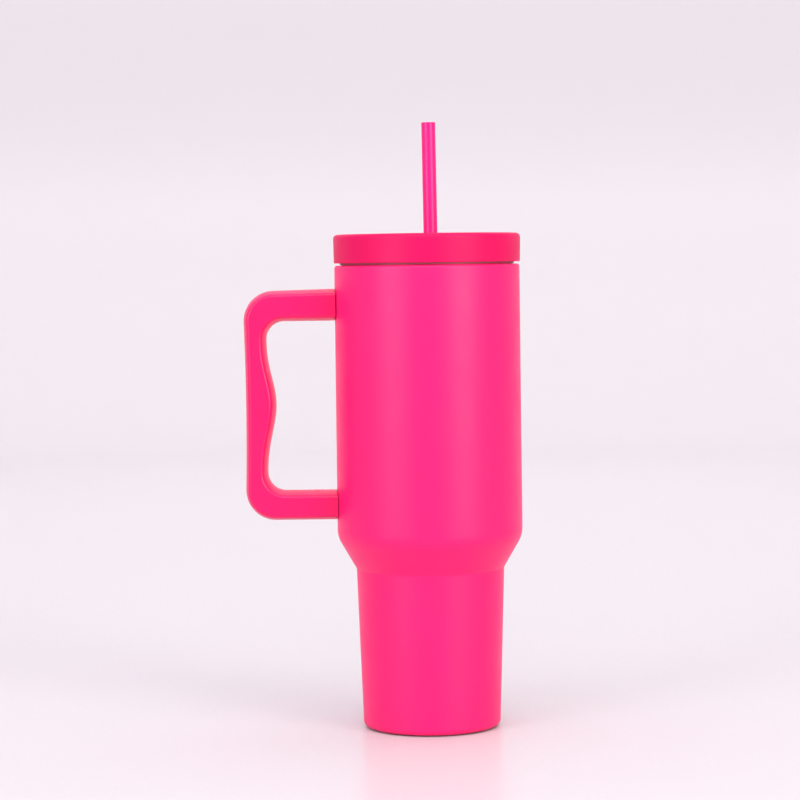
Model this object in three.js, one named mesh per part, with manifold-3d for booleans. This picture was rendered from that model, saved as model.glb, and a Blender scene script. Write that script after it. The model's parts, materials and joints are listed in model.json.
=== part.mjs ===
// Insulated 1.2 litre tumbler with a side handle, a press-in lid and a straw.
// Millimetres, +Z up. The origin is the centre of the base pad's underside and
// the handle points towards -X.
import * as THREE from 'three';
import { mergeVertices } from 'three/addons/utils/BufferGeometryUtils.js';
import Module from 'manifold-3d';

const wasm = await Module();
wasm.setup();

// ---------------------------------------------------------------- dimensions

const ROUND_STEPS = 36;              // facets round the big turned pieces
const SMALL_STEPS = 20;              // facets round screws, straw and pins
const FIT = 0.3;                     // gap left between pieces that touch
const STEEL = 0.5;                   // wall of both steel shells

// outer shell
const PAD_PROUD = 0.6;               // how far the base pad stands below the shell
const BASE_RADIUS = 36.95;
const BASE_ROUND = 2.8;
const BASE_OPENING = 32.6;           // hole in the turned-in bottom edge
const CREASE_RADIUS = 39.7;          // where the cup-holder part meets the shoulder
const CREASE_HEIGHT = 85.8;
const BODY_RADIUS = 49.7;
const SHOULDER_ANGLE = Math.PI / 6;  // slope of the shoulder, from the vertical
const SHOULDER_ROUND = 14.8;
const SHELL_TOP = 248.3;
const SHELL_TOP_RADIUS = 49.5;
const SHELL_TOP_ROUND = 1.35;
const NECK_RADIUS = 45.8;
const NECK_TOP = 255.1;

// inner vessel, measured on its vacuum side
const LINER_RADIUS = 45;
const LINER_FLOOR = 7.2;
const LINER_FLOOR_ROUND = 6;
const LINER_CREASE_HEIGHT = 88.2;
const LINER_SHOULDER_ROUND = 10;
const LOWER_GAP = 4.2;               // from the shell's outside to the liner's outside
const LIP_TOP = 255.5;               // underside of the rolled lip
const LIP_RADIUS = 46.1;
const LIP_BOTTOM = 248.7;
const LIP_ROUND = 0.3;

// radiation foil, shell bottom, getter and base pad
const FOIL_GAP = 0.4;
const FOIL = 0.3;
const FOIL_BOTTOM = 16;
const FOIL_TOP = 240;
const BOTTOM_DISC_RADIUS = 34.7;
const DIMPLE_RADIUS = 6;
const DIMPLE_HEIGHT = 1.5;
const GETTER_OFFSET = 16;
const GETTER_RADIUS = 5;
const PAD_RADIUS = 31.8;
const PAD_THICKNESS = 1.2;
const PAD_GROOVES = [12, 20, 28];    // radii of the grooves in the pad's underside
const PAD_GROOVE_DEPTH = 0.5;
const PAD_GROOVE_HALF = 0.9;

// handle, an outline in the XZ plane
const HANDLE_HALF_WIDTH = 11;
const HANDLE_BEVEL = 2.8;
const HANDLE_TOP = 235.4;
const HANDLE_TOP_AT_BODY = 236.2;
const HANDLE_BOTTOM = 112.3;
const HANDLE_OUTER = -98.5;
const HANDLE_WAIST = -97.2;          // control point of the slightly hollow outer edge
const HANDLE_OUTER_ROUND = 16.2;
const HANDLE_INNER_ROUND = 9.7;
const GRIP_INNER = -86.5;
const GRIP_BUMP = -81.6;             // finger bump on the grip's inner side
const GRIP_BUMP_HEIGHT = 174.5;
const UPPER_ARM_UNDERSIDE = 219;
const LOWER_ARM_TOP = 128.2;
const HANDLE_SEAT_RADIUS = 50.05;

// handle fastening: a welded steel bracket in a pocket of each arm
const BRACKET_HEIGHTS = { upper: 227.8, lower: 119.4 };
const TONGUE_END = -68;
const TONGUE_HALF_WIDTH = 6;
const TONGUE_HALF_HEIGHT = 3.4;
const FOOT_DEPTH = 53.2;
const FOOT_HALF_WIDTH = 8.2;
const FOOT_HALF_HEIGHT = 5;
const SCREW_X = -61;
const SCREW_RADIUS = 2;
const SCREW_HEAD_RADIUS = 3.6;
const SCREW_HEAD = 1.3;
const SCREW_LENGTH = 10;
const COUNTERBORE_RADIUS = 4.1;
const COUNTERBORE = 3;
const CAP_THICKNESS = 1;

// lid
const LID_TOP = 264.8;
const LID_BOTTOM = 249.5;
const LID_RADIUS = 50;
const LID_DRAFT = 0.25;
const LID_TOP_ROUND = 2.4;
const LID_WALL = 2.4;
const SKIRT_INNER = 47.2;
const RECESS_RADIUS = 38.9;
const RECESS_WALL = 1.8;
const FLANGE_RADIUS = 46.8;
const FLANGE_BOTTOM = 256.4;
const FLANGE_TOP = 258.6;
const DECK_BOTTOM = 254.8;
const DECK_TOP = 257.2;
const DECK_STEP_RADIUS = 39.2;
const PLUG_RADIUS = 43.3;
const PLUG_INNER = 40.6;
const PLUG_BOTTOM = 236.2;
const GROOVE_RADIUS = 42;
const GROOVE_BOTTOM = 242.2;
const GROOVE_TOP = 247.2;
const GASKET_RADIUS = 44.1;

// straw and its grommet; the straw leans slightly towards the handle
const STRAW_X = 2.23;
const STRAW_Y = -15;
const STRAW_LEAN = -0.0091;          // sideways per unit of height
const STRAW_RADIUS = 3.7;
const STRAW_BORE = 2.7;
const STRAW_BOTTOM = 9.6;
const STRAW_TOP = 323.2;
const STOP_BEAD_RADIUS = 5.2;
const STOP_BEAD_HEIGHT = 26;
const GROMMET_BORE = 4.05;
const GROMMET_BARREL = 5.7;
const GROMMET_FLANGE = 8.2;

// rotating cover in the lid's recess
const COVER_RADIUS = 38.5;
const COVER_BOTTOM = 258.9;
const COVER_TOP = 261.3;
const COVER_TRAVEL = Math.PI / 3;
const COVER_BOSS_RADIUS = 6;
const SLOT_HALF_WIDTH = 4.6;
const SIP_INNER = 27;
const SIP_OUTER = 35;
const SIP_HALF_ANGLE = 0.35;
const SIP_MARGIN = 1.2;              // cover notch and seal past the sip opening
const PIVOT_BORE = 3;
const PIVOT_RADIUS = 2.6;
const PIVOT_HEAD_RADIUS = 6;
const TAB_TOP = 264.3;

// ---------------------------------------------------------------- materials

const finish = (color, roughness, metalness = 0) =>
  new THREE.MeshStandardMaterial({ color, roughness, metalness });

const coat = finish('#fb2c80', 0.5);
const lidPlastic = finish('#f5246c', 0.45);
const strawPlastic = finish('#ff3386', 0.3);
const silicone = finish('#e3326f', 0.7);
const steel = finish('#b8b4b2', 0.32, 1);
const foilMetal = finish('#c9c9cc', 0.25, 1);
const getterMetal = finish('#6b6a68', 0.6, 0.6);

// ---------------------------------------------------------------- geometry tools

const point = (x, y) => new THREE.Vector2(x, y);

function arc(centreX, centreY, radius, from, to, steps) {
  const points = [];
  for (let i = 0; i <= steps; i += 1) {
    const angle = from + ((to - from) * i) / steps;
    points.push(point(centreX + radius * Math.cos(angle), centreY + radius * Math.sin(angle)));
  }
  return points;
}

// Closed profile of a sheet that lies on the left of a path of its outer side.
function sheetProfile(path, thickness) {
  const sideOf = (from, to) => {
    const along = to.clone().sub(from).normalize();
    return point(-along.y, along.x);
  };
  const other = path.map((here, i) => {
    const before = sideOf(path[Math.max(i - 1, 0)], path[Math.max(i, 1)]);
    const after = sideOf(path[Math.min(i, path.length - 2)], path[Math.min(i + 1, path.length - 1)]);
    const middle = before.clone().add(after).normalize();
    return here.clone().addScaledVector(middle, thickness / middle.dot(before));
  });
  return [...path, ...other.reverse()];
}

// Merged vertices only, without the collapsed triangles on a lathe's axis.
function weld(geometry) {
  geometry.deleteAttribute('normal');
  geometry.deleteAttribute('uv');
  const merged = mergeVertices(geometry, 1e-4);
  const source = Array.from(merged.index.array);
  const kept = [];
  for (let i = 0; i < source.length; i += 3) {
    const [a, b, c] = source.slice(i, i + 3);
    if (a !== b && b !== c && a !== c) kept.push(a, b, c);
  }
  merged.setIndex(kept);
  return merged;
}

// Turns a profile (radius, height), counter-clockwise, about the Z axis.
function turned(profile, steps = ROUND_STEPS) {
  const closed = profile[0].x > 0 ? [...profile, profile[0]] : profile;
  return weld(new THREE.LatheGeometry(closed, steps).rotateX(Math.PI / 2));
}

function disc(radius, bottom, top, steps = SMALL_STEPS) {
  return turned([point(0, bottom), point(radius, bottom), point(radius, top), point(0, top)], steps);
}

function washer(inner, outer, bottom, top, steps = SMALL_STEPS) {
  const corners = [point(inner, bottom), point(outer, bottom), point(outer, top), point(inner, top)];
  return turned(corners, steps);
}

function block(x0, x1, y0, y1, z0, z1) {
  const box = new THREE.BoxGeometry(x1 - x0, y1 - y0, z1 - z0);
  return weld(box.translate((x0 + x1) / 2, (y0 + y1) / 2, (z0 + z1) / 2));
}

// A piece of a ring between two radii and two angles, standing between two heights.
function ringSector(inner, outer, from, to, bottom, top, steps = 8) {
  const outline = [...arc(0, 0, outer, from, to, steps), ...arc(0, 0, inner, to, from, steps)];
  const slab = new THREE.ExtrudeGeometry(new THREE.Shape(outline), { depth: top - bottom, bevelEnabled: false });
  return weld(slab.translate(0, 0, bottom));
}

// The same with round ends, for a slot that a round piece travels in.
function roundSlot(radius, halfWidth, from, to, bottom, top) {
  const endSteps = 6;
  const along = arc(0, 0, radius + halfWidth, from, to, 8);
  const farEnd = arc(radius * Math.cos(to), radius * Math.sin(to), halfWidth, to, to + Math.PI, endSteps);
  const back = arc(0, 0, radius - halfWidth, to, from, 8);
  const nearEnd = arc(radius * Math.cos(from), radius * Math.sin(from), halfWidth,
    from + Math.PI, from + 2 * Math.PI, endSteps);
  const outline = [...along, ...farEnd.slice(1, -1), ...back, ...nearEnd.slice(1, -1)];
  const slab = new THREE.ExtrudeGeometry(new THREE.Shape(outline), { depth: top - bottom, bevelEnabled: false });
  return weld(slab.translate(0, 0, bottom));
}

function toSolid(geometry) {
  const vertProperties = new Float32Array(geometry.attributes.position.array);
  const triVerts = new Uint32Array(geometry.index.array);
  return new wasm.Manifold(new wasm.Mesh({ numProp: 3, vertProperties, triVerts }));
}

function toGeometry(solid) {
  const mesh = solid.getMesh();
  const geometry = new THREE.BufferGeometry();
  geometry.setAttribute('position', new THREE.BufferAttribute(new Float32Array(mesh.vertProperties), 3));
  geometry.setIndex(Array.from(mesh.triVerts));
  return geometry;
}

function cut(geometry, ...tools) {
  return toGeometry(tools.reduce((solid, tool) => solid.subtract(toSolid(tool)), toSolid(geometry)));
}

function join(geometry, ...others) {
  return toGeometry(others.reduce((solid, other) => solid.add(toSolid(other)), toSolid(geometry)));
}

const group = new THREE.Group();

function piece(name, geometry, material) {
  const mesh = new THREE.Mesh(geometry, material);
  mesh.name = name;
  group.add(mesh);
  return mesh;
}

// ---------------------------------------------------------------- steel body

const TAPER = (CREASE_RADIUS - BASE_RADIUS) / (CREASE_HEIGHT - PAD_PROUD - BASE_ROUND);
const lowerRadius = (height) => CREASE_RADIUS - TAPER * (CREASE_HEIGHT - height);

// Rounded corner between the sloping shoulder and the upright wall above it.
function shoulderArc(creaseRadius, creaseHeight, radius, round) {
  const corner = creaseHeight + (radius - creaseRadius) / Math.tan(SHOULDER_ANGLE);
  const end = corner + round * Math.tan(SHOULDER_ANGLE / 2);
  return arc(radius - round, end, round, -SHOULDER_ANGLE, 0, 3);
}

function outerShell() {
  const baseCentre = BASE_RADIUS - BASE_ROUND;
  const topCentre = SHELL_TOP - SHELL_TOP_ROUND;
  const path = [
    point(BASE_OPENING, PAD_PROUD),
    ...arc(baseCentre, PAD_PROUD + BASE_ROUND, BASE_ROUND, -Math.PI / 2, 0, 3),
    point(CREASE_RADIUS, CREASE_HEIGHT),
    ...shoulderArc(CREASE_RADIUS, CREASE_HEIGHT, BODY_RADIUS, SHOULDER_ROUND),
    ...arc(SHELL_TOP_RADIUS - SHELL_TOP_ROUND, topCentre, SHELL_TOP_ROUND, 0, Math.PI / 2, 2),
    point(NECK_RADIUS, SHELL_TOP),
    point(NECK_RADIUS, NECK_TOP),
  ];
  piece('outer_shell', turned(sheetProfile(path, STEEL)), coat);
}

// Vacuum side of the liner's wall from a height up to the straight part,
// set outwards by an offset.
function linerWall(from, offset) {
  const creaseRadius = lowerRadius(LINER_CREASE_HEIGHT) - LOWER_GAP;
  return [
    point(lowerRadius(from) - LOWER_GAP + offset, from),
    point(creaseRadius + offset, LINER_CREASE_HEIGHT),
    ...shoulderArc(creaseRadius + offset, LINER_CREASE_HEIGHT, LINER_RADIUS + offset, LINER_SHOULDER_ROUND),
  ];
}

function innerVessel() {
  const wall = linerWall(LINER_FLOOR + LINER_FLOOR_ROUND, 0);
  const floorCentre = wall[0].x - LINER_FLOOR_ROUND;
  const rollCentre = LIP_TOP - LIP_ROUND;
  const path = [
    point(0, LINER_FLOOR),
    ...arc(floorCentre, LINER_FLOOR + LINER_FLOOR_ROUND, LINER_FLOOR_ROUND, -Math.PI / 2, 0, 3).slice(0, -1),
    ...wall,
    ...arc(LINER_RADIUS + LIP_ROUND, rollCentre, LIP_ROUND, Math.PI, Math.PI / 2, 2),
    ...arc(LIP_RADIUS - LIP_ROUND, rollCentre, LIP_ROUND, Math.PI / 2, 0, 2),
    point(LIP_RADIUS, LIP_BOTTOM),
  ];
  piece('inner_vessel', turned(sheetProfile(path, STEEL)), steel);
}

function radiationFoil() {
  const path = linerWall(FOIL_BOTTOM, FOIL_GAP + FOIL);
  path.push(point(LINER_RADIUS + FOIL_GAP + FOIL, FOIL_TOP));
  piece('radiation_foil', turned(sheetProfile(path, FOIL)), foilMetal);
}

function shellBottom() {
  const underside = PAD_THICKNESS + FIT;
  const path = [
    point(0, underside + DIMPLE_HEIGHT),
    point(DIMPLE_RADIUS / 2, underside + DIMPLE_HEIGHT),
    point(DIMPLE_RADIUS, underside),
    point(BOTTOM_DISC_RADIUS, underside),
  ];
  piece('shell_bottom', turned(sheetProfile(path, STEEL)), steel);
}

// A getter tablet in its small cup, inside the vacuum space.
function getter() {
  const floor = PAD_THICKNESS + FIT + STEEL + FIT;
  const cupWall = 0.5;
  const cupHeight = 2.6;
  const path = [
    point(0, floor),
    point(GETTER_RADIUS + cupWall, floor),
    point(GETTER_RADIUS + cupWall, floor + cupHeight),
  ];
  const cup = piece('getter_cup', turned(sheetProfile(path, cupWall), SMALL_STEPS), steel);
  const tablet = disc(GETTER_RADIUS - FIT, floor + cupWall + FIT, floor + cupHeight - FIT);
  const pellet = piece('getter_tablet', tablet, getterMetal);
  cup.position.x = GETTER_OFFSET;
  pellet.position.x = GETTER_OFFSET;
}

function basePad() {
  const edge = 0.4;
  const underside = [point(0, 0)];
  for (const radius of PAD_GROOVES) {
    underside.push(point(radius - PAD_GROOVE_HALF, 0));
    underside.push(point(radius, PAD_GROOVE_DEPTH));
    underside.push(point(radius + PAD_GROOVE_HALF, 0));
  }
  const profile = [
    ...underside,
    point(PAD_RADIUS - edge, 0),
    point(PAD_RADIUS, edge),
    point(PAD_RADIUS, PAD_THICKNESS),
    point(0, PAD_THICKNESS),
  ];
  piece('base_pad', turned(profile), silicone);
}

// ---------------------------------------------------------------- handle

function handleOutline() {
  const outer = HANDLE_OUTER + HANDLE_OUTER_ROUND;
  const inner = GRIP_INNER + HANDLE_INNER_ROUND;
  const insideBody = -44;
  const upperCorner = HANDLE_TOP - HANDLE_OUTER_ROUND;
  const lowerCorner = HANDLE_BOTTOM + HANDLE_OUTER_ROUND;
  const upperPalm = UPPER_ARM_UNDERSIDE - HANDLE_INNER_ROUND;
  const lowerPalm = LOWER_ARM_TOP + HANDLE_INNER_ROUND;
  const easing = 16;                 // length of the tangents of the flowing grip curve
  const outline = new THREE.Shape();
  outline.moveTo(insideBody, HANDLE_TOP_AT_BODY);
  outline.lineTo(outer, HANDLE_TOP);
  outline.absarc(outer, upperCorner, HANDLE_OUTER_ROUND, Math.PI / 2, Math.PI, false);
  outline.quadraticCurveTo(HANDLE_WAIST, (upperCorner + lowerCorner) / 2, HANDLE_OUTER, lowerCorner);
  outline.absarc(outer, lowerCorner, HANDLE_OUTER_ROUND, Math.PI, 1.5 * Math.PI, false);
  outline.lineTo(insideBody, HANDLE_BOTTOM);
  outline.lineTo(insideBody, LOWER_ARM_TOP);
  outline.lineTo(inner, LOWER_ARM_TOP);
  outline.absarc(inner, lowerPalm, HANDLE_INNER_ROUND, 1.5 * Math.PI, Math.PI, true);
  outline.bezierCurveTo(GRIP_INNER, lowerPalm + easing, GRIP_BUMP, GRIP_BUMP_HEIGHT - easing * 0.7,
    GRIP_BUMP, GRIP_BUMP_HEIGHT);
  outline.bezierCurveTo(GRIP_BUMP, GRIP_BUMP_HEIGHT + easing * 0.7, GRIP_INNER, upperPalm - easing,
    GRIP_INNER, upperPalm);
  outline.absarc(inner, upperPalm, HANDLE_INNER_ROUND, Math.PI, Math.PI / 2, true);
  outline.lineTo(insideBody, UPPER_ARM_UNDERSIDE);
  return outline;
}

// Solid that a bracket fills, grown by a clearance where the handle makes room for it.
function bracketParts(height, clearance) {
  const tongueHalf = TONGUE_HALF_HEIGHT + clearance;
  const footHalf = FOOT_HALF_HEIGHT + clearance;
  const tongueWide = TONGUE_HALF_WIDTH + clearance;
  const footWide = FOOT_HALF_WIDTH + clearance;
  const insideBody = -44;
  return [
    block(TONGUE_END - clearance, insideBody, -tongueWide, tongueWide, height - tongueHalf, height + tongueHalf),
    block(-FOOT_DEPTH - clearance, insideBody, -footWide, footWide, height - footHalf, height + footHalf),
  ];
}

// Holes for one arm's screw, from the arm's palm face towards the bracket.
function screwHoles(palm, towards) {
  const far = palm + towards * SCREW_LENGTH;
  const floor = palm + towards * COUNTERBORE;
  const start = palm - towards;
  const tools = [
    disc(COUNTERBORE_RADIUS, Math.min(start, floor), Math.max(start, floor)),
    disc(SCREW_RADIUS + FIT, Math.min(start, far), Math.max(start, far)),
  ];
  return tools.map((tool) => tool.translate(SCREW_X, 0, 0));
}

function handle() {
  const slab = new THREE.ExtrudeGeometry(handleOutline(), {
    depth: 2 * (HANDLE_HALF_WIDTH - HANDLE_BEVEL),
    curveSegments: 6,
    bevelEnabled: true,
    bevelThickness: HANDLE_BEVEL,
    bevelSize: HANDLE_BEVEL,
    bevelOffset: -HANDLE_BEVEL,
    bevelSegments: 2,
  });
  slab.rotateX(Math.PI / 2).translate(0, HANDLE_HALF_WIDTH - HANDLE_BEVEL, 0);
  const seat = disc(HANDLE_SEAT_RADIUS, HANDLE_BOTTOM - HANDLE_BEVEL, HANDLE_TOP_AT_BODY + HANDLE_BEVEL, 72);
  const pockets = Object.values(BRACKET_HEIGHTS).flatMap((height) => bracketParts(height, FIT + 0.1));
  const holes = [...screwHoles(UPPER_ARM_UNDERSIDE, 1), ...screwHoles(LOWER_ARM_TOP, -1)];
  piece('handle', cut(weld(slab), seat, ...pockets, ...holes), lidPlastic);
}

function bracket(name, height) {
  const body = disc(BODY_RADIUS + FIT, height - 2 * FOOT_HALF_HEIGHT, height + 2 * FOOT_HALF_HEIGHT, 72);
  const hole = disc(SCREW_RADIUS + FIT, height - FOOT_HALF_HEIGHT, height + FOOT_HALF_HEIGHT);
  const [tongue, foot] = bracketParts(height, 0);
  piece(name, cut(join(tongue, foot), body, hole.translate(SCREW_X, 0, 0)), steel);
}

// Screw with its head in the counterbore, and the cap that closes it flush.
function screwAndCap(name, palm, towards) {
  const socket = 1.6;
  const headFace = CAP_THICKNESS + 2 * FIT;
  const headSeat = headFace + SCREW_HEAD;
  const profile = [
    point(0, headFace + 0.6),
    point(socket, headFace + 0.6),
    point(socket, headFace),
    point(SCREW_HEAD_RADIUS, headFace),
    point(SCREW_HEAD_RADIUS, headSeat),
    point(SCREW_RADIUS, headSeat),
    point(SCREW_RADIUS, SCREW_LENGTH - 1),
    point(0, SCREW_LENGTH - 1),
  ];
  const screw = piece(`${name}_handle_screw`, turned(profile, SMALL_STEPS), steel);
  const plug = disc(COUNTERBORE_RADIUS - FIT, 0.1, 0.1 + CAP_THICKNESS);
  const cap = piece(`${name}_screw_cap`, plug, lidPlastic);
  for (const part of [screw, cap]) {
    part.position.set(SCREW_X, 0, palm);
    if (towards < 0) part.rotation.x = Math.PI;
  }
}

// ---------------------------------------------------------------- lid

function lidShell() {
  const edge = 0.4;
  const underTop = LID_TOP - LID_WALL;
  const recessFoot = FLANGE_TOP + FIT;
  const profile = [
    point(SKIRT_INNER + edge, LID_BOTTOM),
    point(LID_RADIUS - LID_DRAFT - edge, LID_BOTTOM),
    point(LID_RADIUS - LID_DRAFT, LID_BOTTOM + edge),
    ...arc(LID_RADIUS - LID_TOP_ROUND, LID_TOP - LID_TOP_ROUND, LID_TOP_ROUND, 0, Math.PI / 2, 3),
    point(RECESS_RADIUS + edge, LID_TOP),
    point(RECESS_RADIUS, LID_TOP - edge),
    point(RECESS_RADIUS, recessFoot),
    point(RECESS_RADIUS + RECESS_WALL, recessFoot),
    point(RECESS_RADIUS + RECESS_WALL, underTop),
    point(SKIRT_INNER, underTop),
    point(SKIRT_INNER, LID_BOTTOM + edge),
  ];
  piece('lid_shell', turned(profile), lidPlastic);
}

const STRAW_DISTANCE = Math.hypot(STRAW_X, STRAW_Y);
const STRAW_DIRECTION = Math.atan2(STRAW_Y, STRAW_X);
const SIP_DIRECTION = STRAW_DIRECTION + Math.PI;

function lidPlug() {
  const edge = 0.6;
  const profile = [
    point(PIVOT_BORE, DECK_BOTTOM),
    point(PLUG_INNER, DECK_BOTTOM),
    point(PLUG_INNER, PLUG_BOTTOM),
    point(PLUG_RADIUS - edge, PLUG_BOTTOM),
    point(PLUG_RADIUS, PLUG_BOTTOM + edge),
    point(PLUG_RADIUS, GROOVE_BOTTOM),
    point(GROOVE_RADIUS, GROOVE_BOTTOM),
    point(GROOVE_RADIUS, GROOVE_TOP),
    point(PLUG_RADIUS, GROOVE_TOP),
    point(PLUG_RADIUS, FLANGE_BOTTOM),
    point(FLANGE_RADIUS, FLANGE_BOTTOM),
    point(FLANGE_RADIUS, FLANGE_TOP),
    point(DECK_STEP_RADIUS, FLANGE_TOP),
    point(DECK_STEP_RADIUS, DECK_TOP),
    point(PIVOT_BORE, DECK_TOP),
  ];
  const strawHole = disc(GROMMET_BARREL + FIT, DECK_BOTTOM - 1, DECK_TOP + 1, 24);
  strawHole.translate(STRAW_X, STRAW_Y, 0);
  const sipOpening = ringSector(SIP_INNER, SIP_OUTER, SIP_DIRECTION - SIP_HALF_ANGLE,
    SIP_DIRECTION + SIP_HALF_ANGLE, DECK_BOTTOM - 1, DECK_TOP + 1);
  piece('lid_plug', cut(turned(profile), strawHole, sipOpening), lidPlastic);
}

// Silicone ring with two lips, in the plug's groove.
function lidGasket() {
  const back = GROOVE_RADIUS + FIT;
  const root = GASKET_RADIUS - 0.9;
  const bottom = GROOVE_BOTTOM + FIT;
  const top = GROOVE_TOP - FIT;
  const lip = 1;
  const profile = [
    point(back, bottom),
    point(root, bottom),
    point(GASKET_RADIUS, bottom + lip),
    point(root, bottom + 1.6 * lip),
    point(root, top - 1.6 * lip),
    point(GASKET_RADIUS, top - 0.6 * lip),
    point(root, top),
    point(back, top),
  ];
  piece('lid_gasket', turned(profile), silicone);
}

function rotatingCover() {
  const edge = 0.4;
  const disk = turned([
    point(PIVOT_BORE, DECK_TOP + FIT),
    point(COVER_BOSS_RADIUS, DECK_TOP + FIT),
    point(COVER_BOSS_RADIUS, COVER_BOTTOM),
    point(COVER_RADIUS, COVER_BOTTOM),
    point(COVER_RADIUS, COVER_TOP - edge),
    point(COVER_RADIUS - edge, COVER_TOP),
    point(PIVOT_BORE, COVER_TOP),
  ]);
  const below = DECK_TOP;
  const above = COVER_TOP + 1;
  const slot = roundSlot(STRAW_DISTANCE, SLOT_HALF_WIDTH, STRAW_DIRECTION - COVER_TRAVEL,
    STRAW_DIRECTION, below, above);
  const notchDirection = SIP_DIRECTION - COVER_TRAVEL;
  const notchHalf = SIP_HALF_ANGLE + SIP_MARGIN / SIP_OUTER;
  const notch = ringSector(SIP_INNER - SIP_MARGIN, SIP_OUTER + SIP_MARGIN,
    notchDirection - notchHalf, notchDirection + notchHalf, below, above);
  const thumbTab = ringSector(24, 35, SIP_DIRECTION + 0.1, SIP_DIRECTION + 0.26, COVER_TOP - 0.5, TAB_TOP, 2);
  piece('rotating_cover', join(cut(disk, slot, notch), thumbTab), lidPlastic);
}

// Silicone pad under the cover that closes the sip opening.
function sipSeal() {
  const half = SIP_HALF_ANGLE + (2 * SIP_MARGIN) / SIP_OUTER;
  const pad = ringSector(SIP_INNER - SIP_MARGIN, SIP_OUTER + SIP_MARGIN, SIP_DIRECTION - half,
    SIP_DIRECTION + half, DECK_TOP + FIT, COVER_BOTTOM - FIT);
  piece('sip_seal', pad, silicone);
}

// Pin that the cover turns on, its wave washer and the clip under the deck.
function coverPivot() {
  const washerBottom = COVER_TOP + FIT;
  const washerTop = washerBottom + 0.4;
  const headBottom = washerTop + FIT;
  const clipTop = DECK_BOTTOM - FIT;
  const clipBottom = clipTop - 1.2;
  const pin = turned([
    point(0, clipBottom - 0.9),
    point(PIVOT_RADIUS - 0.5, clipBottom - 0.9),
    point(PIVOT_RADIUS, clipBottom - 0.4),
    point(PIVOT_RADIUS, headBottom),
    point(PIVOT_HEAD_RADIUS, headBottom),
    point(PIVOT_HEAD_RADIUS, headBottom + 1),
    point(PIVOT_HEAD_RADIUS - 1, headBottom + 1.8),
    point(0, headBottom + 2),
  ], SMALL_STEPS);
  piece('cover_pivot', pin, lidPlastic);
  piece('pivot_washer', washer(PIVOT_BORE, PIVOT_HEAD_RADIUS - 0.5, washerBottom, washerTop), steel);
  piece('pivot_clip', washer(PIVOT_BORE, PIVOT_HEAD_RADIUS - 0.5, clipBottom, clipTop), steel);
}

function strawGrommet() {
  const lowerFlange = GROMMET_FLANGE - 0.6;
  const grommet = turned([
    point(GROMMET_BORE, DECK_BOTTOM - 1.6),
    point(lowerFlange - 0.5, DECK_BOTTOM - 1.6),
    point(lowerFlange, DECK_BOTTOM - FIT),
    point(GROMMET_BARREL, DECK_BOTTOM - FIT),
    point(GROMMET_BARREL, DECK_TOP + FIT),
    point(GROMMET_FLANGE, DECK_TOP + FIT),
    point(GROMMET_FLANGE - 0.3, DECK_TOP + FIT + 0.8),
    point(GROMMET_BORE, DECK_TOP + FIT + 0.8),
  ], 24);
  piece('straw_grommet', grommet.translate(STRAW_X, STRAW_Y, 0), silicone);
}

// ---------------------------------------------------------------- straw

function straw() {
  const edge = 0.35;
  const beadHalf = 1.8;
  const below = DECK_TOP - STRAW_BOTTOM;
  const above = STRAW_TOP - DECK_TOP;
  const bead = STOP_BEAD_HEIGHT - DECK_TOP;
  const tube = turned([
    point(STRAW_BORE, -below),
    point(STRAW_RADIUS - edge, -below),
    point(STRAW_RADIUS, edge - below),
    point(STRAW_RADIUS, bead - beadHalf),
    point(STOP_BEAD_RADIUS, bead - beadHalf / 2),
    point(STOP_BEAD_RADIUS, bead + beadHalf / 2),
    point(STRAW_RADIUS, bead + beadHalf),
    point(STRAW_RADIUS, above - edge),
    point(STRAW_RADIUS - edge, above),
    point(STRAW_BORE, above),
  ], 24);
  const mesh = piece('straw', tube, strawPlastic);
  mesh.position.set(STRAW_X, STRAW_Y, DECK_TOP);
  mesh.rotation.y = Math.atan(STRAW_LEAN);
}

// ---------------------------------------------------------------- assembly

outerShell();
innerVessel();
radiationFoil();
shellBottom();
getter();
basePad();
handle();
bracket('upper_bracket', BRACKET_HEIGHTS.upper);
bracket('lower_bracket', BRACKET_HEIGHTS.lower);
screwAndCap('upper', UPPER_ARM_UNDERSIDE, 1);
screwAndCap('lower', LOWER_ARM_TOP, -1);
lidShell();
lidPlug();
lidGasket();
strawGrommet();
rotatingCover();
sipSeal();
coverPivot();
straw();

export default group;
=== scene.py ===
"""Insulated tumbler with side handle, press-in lid and straw: looks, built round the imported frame.

The scene is in metres, +Z up, with the origin under the base pad's centre, the handle towards -X and
the camera on -Y. The lengths that shape the pieces are in millimetres.
"""
import json
import math

import bmesh
import bpy
from mathutils import Matrix, Vector


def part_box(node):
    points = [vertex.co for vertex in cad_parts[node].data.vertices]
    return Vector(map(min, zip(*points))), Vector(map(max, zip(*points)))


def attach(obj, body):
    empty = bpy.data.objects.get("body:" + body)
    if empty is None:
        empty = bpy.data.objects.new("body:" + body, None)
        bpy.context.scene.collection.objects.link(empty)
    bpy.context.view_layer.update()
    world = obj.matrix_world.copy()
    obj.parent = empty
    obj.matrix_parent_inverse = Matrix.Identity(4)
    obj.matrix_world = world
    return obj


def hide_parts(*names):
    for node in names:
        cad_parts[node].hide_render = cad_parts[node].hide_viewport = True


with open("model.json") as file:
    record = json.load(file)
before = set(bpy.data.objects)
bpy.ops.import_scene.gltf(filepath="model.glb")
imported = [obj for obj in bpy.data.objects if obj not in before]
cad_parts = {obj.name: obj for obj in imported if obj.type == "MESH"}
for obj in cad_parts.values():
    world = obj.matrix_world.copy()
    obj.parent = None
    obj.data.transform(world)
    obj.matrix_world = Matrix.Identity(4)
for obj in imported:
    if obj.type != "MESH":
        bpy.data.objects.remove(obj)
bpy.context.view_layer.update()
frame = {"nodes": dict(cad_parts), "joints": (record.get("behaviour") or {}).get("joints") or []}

MM = 0.001
ROUND_STEPS = 192                 # facets round the big turned pieces
SMALL_STEPS = 64                  # facets round screws, pins and the straw
QUARTER = math.pi / 2


# ------------------------------------------------------------------ places taken from the frame

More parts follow.
